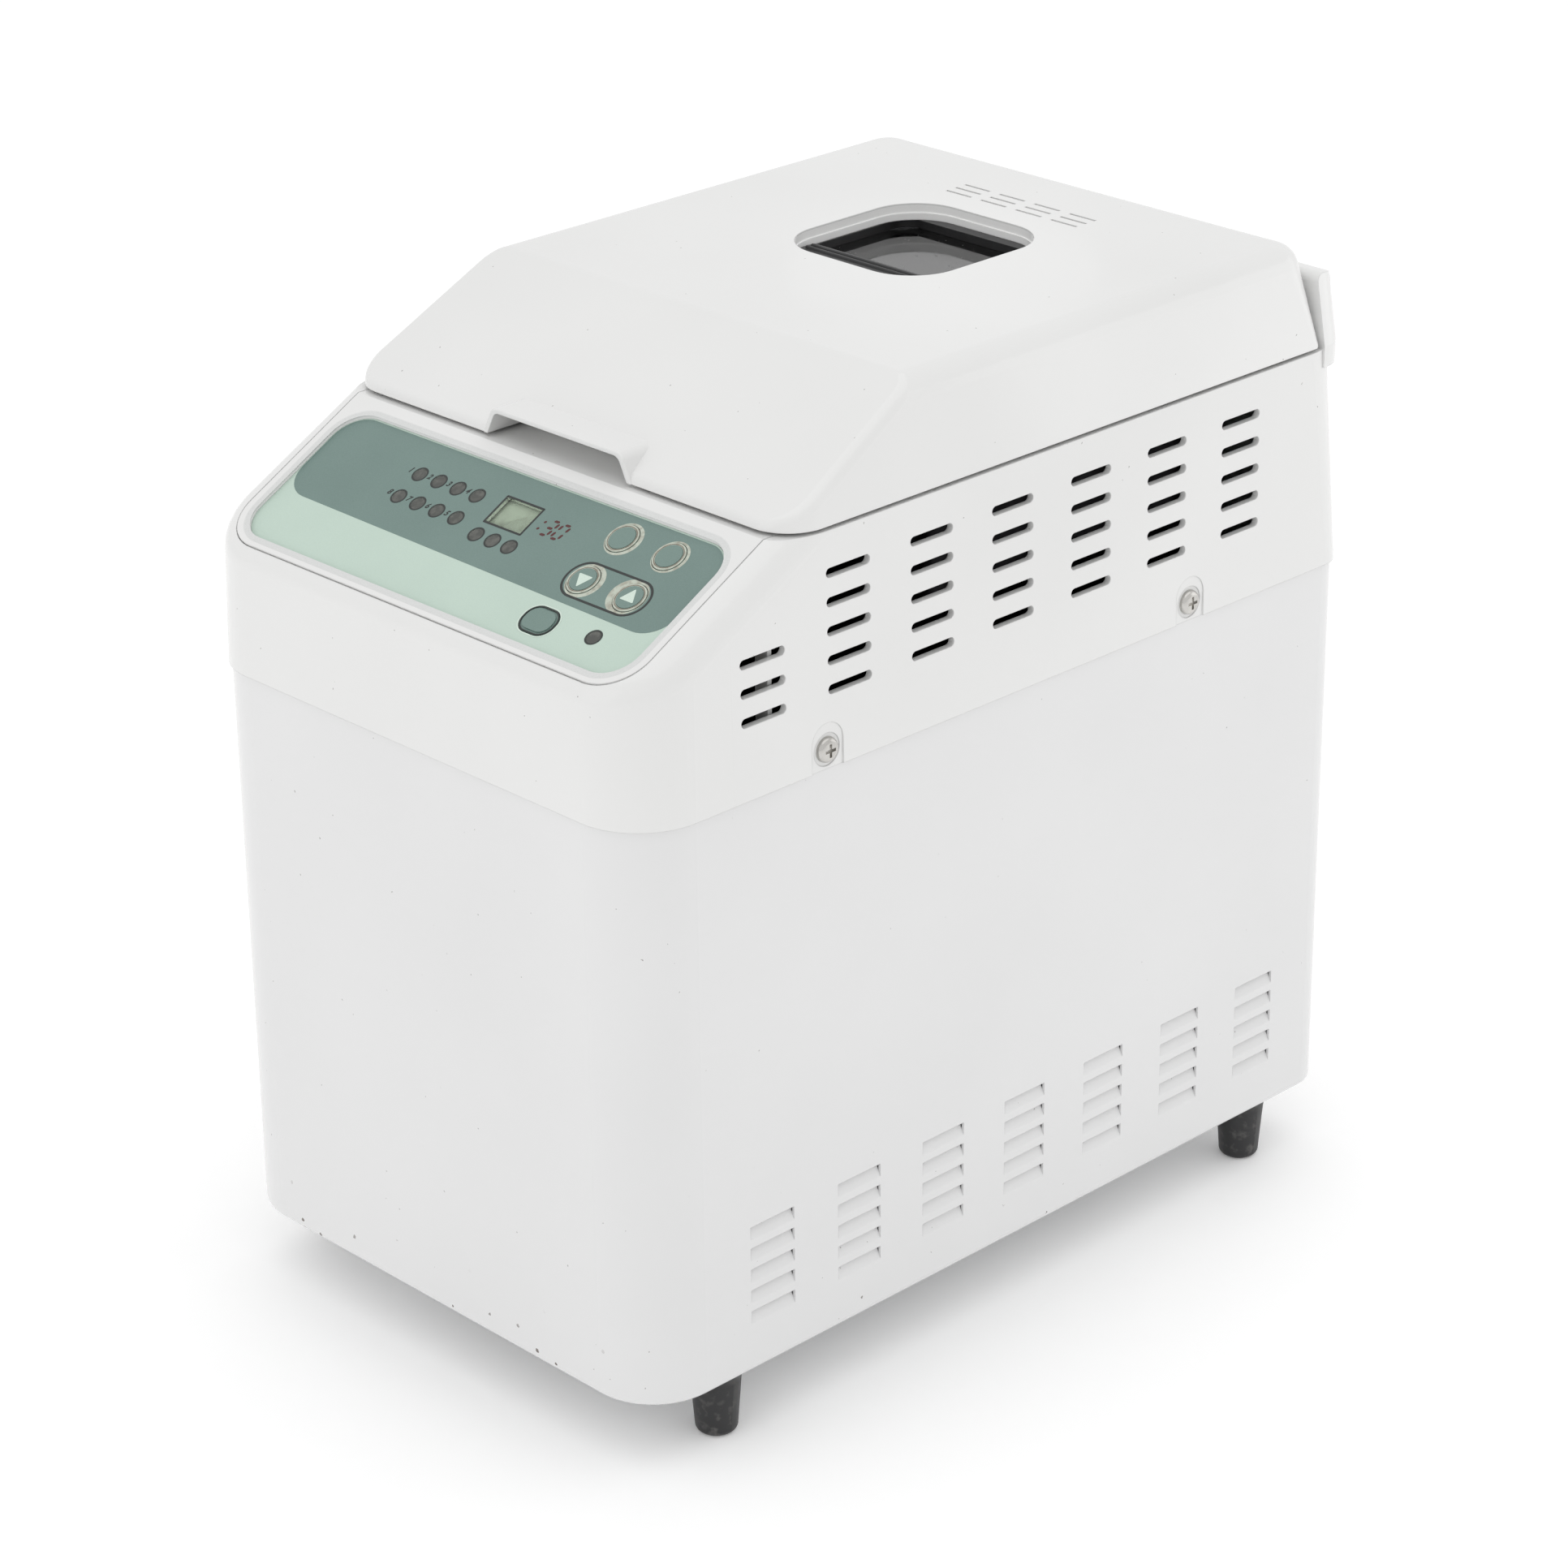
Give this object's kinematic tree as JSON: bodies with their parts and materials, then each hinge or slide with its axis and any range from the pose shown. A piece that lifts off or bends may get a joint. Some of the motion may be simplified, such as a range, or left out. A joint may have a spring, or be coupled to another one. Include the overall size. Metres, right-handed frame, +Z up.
{
  "type": "bread machine",
  "caption": "Upright home bread machine: louvred white case on rubber feet, sloping control panel, hinged lid with window and finger hood, oven, lift-out pan, belt-driven paddle.",
  "frame": {"origin": "on the floor, under the middle of the casing", "axes": "front faces -Y, right seen from the front is +X, up is +Z"},
  "size_m": [0.221, 0.3419, 0.3495],
  "materials": {
    "case_paint": "gloss white enamel",
    "white_plastic": "gloss white moulding",
    "plain_steel": "plain zinc-plated steel",
    "foot_rubber": "satin black rubber",
    "bright_screw": "bright plated",
    "black_plastic": "black moulding",
    "panel_film": "printed satin film",
    "lamp_lens": "dark lens",
    "display_pane": "grey-green display pane",
    "display_block": "display block",
    "button_plastic": "satin grey-green cap",
    "board_laminate": "green laminate",
    "core_iron": "dark laminated core",
    "oven_sheet": "bright aluminised sheet",
    "element_tube": "dark sheathed tube",
    "bush_ceramic": "pale ceramic",
    "bearing_brass": "plain bearing metal",
    "belt_rubber": "black rubber",
    "cast_metal": "cast",
    "pan_coating": "dark non-stick coating",
    "handle_wire": "bright wire",
    "window_pane": "smoked glass"
  },
  "bodies": {
    "machine": {"lower_case": "case_paint", "base_plate": "plain_steel", "rubber_feet": "foot_rubber", "foot_screws": "plain_steel", "cord_gland": "black_plastic", "upper_housing": "white_plastic", "side_screws": "bright_screw", "panel_bezel": "white_plastic", "panel_overlay": "panel_film", "indicator_lamps": "lamp_lens", "display_window": "display_pane", "display_module": "display_block", "control_board": "board_laminate", "board_screws": "plain_steel", "tact_switches": "black_plastic", "power_bracket": "plain_steel", "power_board": "board_laminate", "transformer": "core_iron", "relay": "black_plastic", "oven_chamber": "oven_sheet", "heating_element": "element_tube", "element_bushings": "bush_ceramic", "element_brackets": "plain_steel", "temperature_sensor": "element_tube", "pan_clips": "plain_steel", "drive_frame": "plain_steel", "drive_bearing": "bearing_brass", "drive_belt": "belt_rubber", "motor_body": "core_iron", "hinge_pins": "plain_steel"},
    "lid": {"lid_shell": "white_plastic", "lid_liner": "oven_sheet", "window_frame": "black_plastic", "window_glass": "window_pane", "liner_screws": "plain_steel"},
    "pan": {"bread_pan": "pan_coating", "pan_base_ring": "cast_metal", "pan_bearing": "bearing_brass", "shaft_seal": "belt_rubber", "handle_brackets": "cast_metal"},
    "handle": {"pan_handle": "handle_wire"},
    "pan_drive": {"pan_shaft": "plain_steel"},
    "paddle": {"kneading_paddle": "pan_coating"},
    "drive": {"drive_shaft": "plain_steel", "drive_pulley": "black_plastic", "drive_coupling": "cast_metal"},
    "motor_rotor": {"motor_shaft": "plain_steel", "motor_pulley": "black_plastic"},
    "menu": {"menu_button": "button_plastic"},
    "colour": {"colour_button": "button_plastic"},
    "timer_down": {"timer_down_button": "button_plastic"},
    "timer_up": {"timer_up_button": "button_plastic"},
    "start": {"start_button": "button_plastic"}
  },
  "joints": [
    {"name": "lid_hinge", "type": "hinge", "parent": "machine", "child": "lid", "pos_m": [0, 0.1626, 0.334], "axis": [-1, 0, 0], "range_deg": [0, 95]},
    {"name": "pan_lift", "type": "slide", "parent": "machine", "child": "pan", "axis": [0, 0, 1], "range_m": [0, 0.066]},
    {"name": "handle_swing", "type": "hinge", "parent": "pan", "child": "handle", "pos_m": [0, 0.046, 0.258], "axis": [1, 0, 0], "range_deg": [0, 180]},
    {"name": "drive_turn", "type": "hinge", "parent": "machine", "child": "drive", "pos_m": [0, 0.046, 0.06], "axis": [0, 0, 1], "continuous": true},
    {"name": "motor_turn", "type": "hinge", "parent": "machine", "child": "motor_rotor", "pos_m": [0, -0.108, 0.06], "axis": [0, 0, 1], "continuous": true},
    {"name": "pan_shaft_turn", "type": "hinge", "parent": "pan", "child": "pan_drive", "pos_m": [0, 0.046, 0.13], "axis": [0, 0, 1], "continuous": true},
    {"name": "paddle_lift", "type": "slide", "parent": "pan_drive", "child": "paddle", "axis": [0, 0, 1], "range_m": [0, 0.03]},
    {"name": "menu_press", "type": "slide", "parent": "machine", "child": "menu", "axis": [0, 0.4756, -0.8796], "range_m": [0, 0.0008], "stiffness_N_per_m": 600, "springref_m": -0.0006},
    {"name": "colour_press", "type": "slide", "parent": "machine", "child": "colour", "axis": [0, 0.4756, -0.8796], "range_m": [0, 0.0008], "stiffness_N_per_m": 600, "springref_m": -0.0006},
    {"name": "timer_down_press", "type": "slide", "parent": "machine", "child": "timer_down", "axis": [0, 0.4756, -0.8796], "range_m": [0, 0.0008], "stiffness_N_per_m": 600, "springref_m": -0.0006},
    {"name": "timer_up_press", "type": "slide", "parent": "machine", "child": "timer_up", "axis": [0, 0.4756, -0.8796], "range_m": [0, 0.0008], "stiffness_N_per_m": 600, "springref_m": -0.0006},
    {"name": "start_press", "type": "slide", "parent": "machine", "child": "start", "axis": [0, 0.4756, -0.8796], "range_m": [0, 0.0008], "stiffness_N_per_m": 600, "springref_m": -0.0006}
  ],
  "couplings": [
    {"joint": "motor_turn", "follows": "drive_turn", "ratio": 6.2222},
    {"joint": "pan_shaft_turn", "follows": "drive_turn", "ratio": 1}
  ]
}
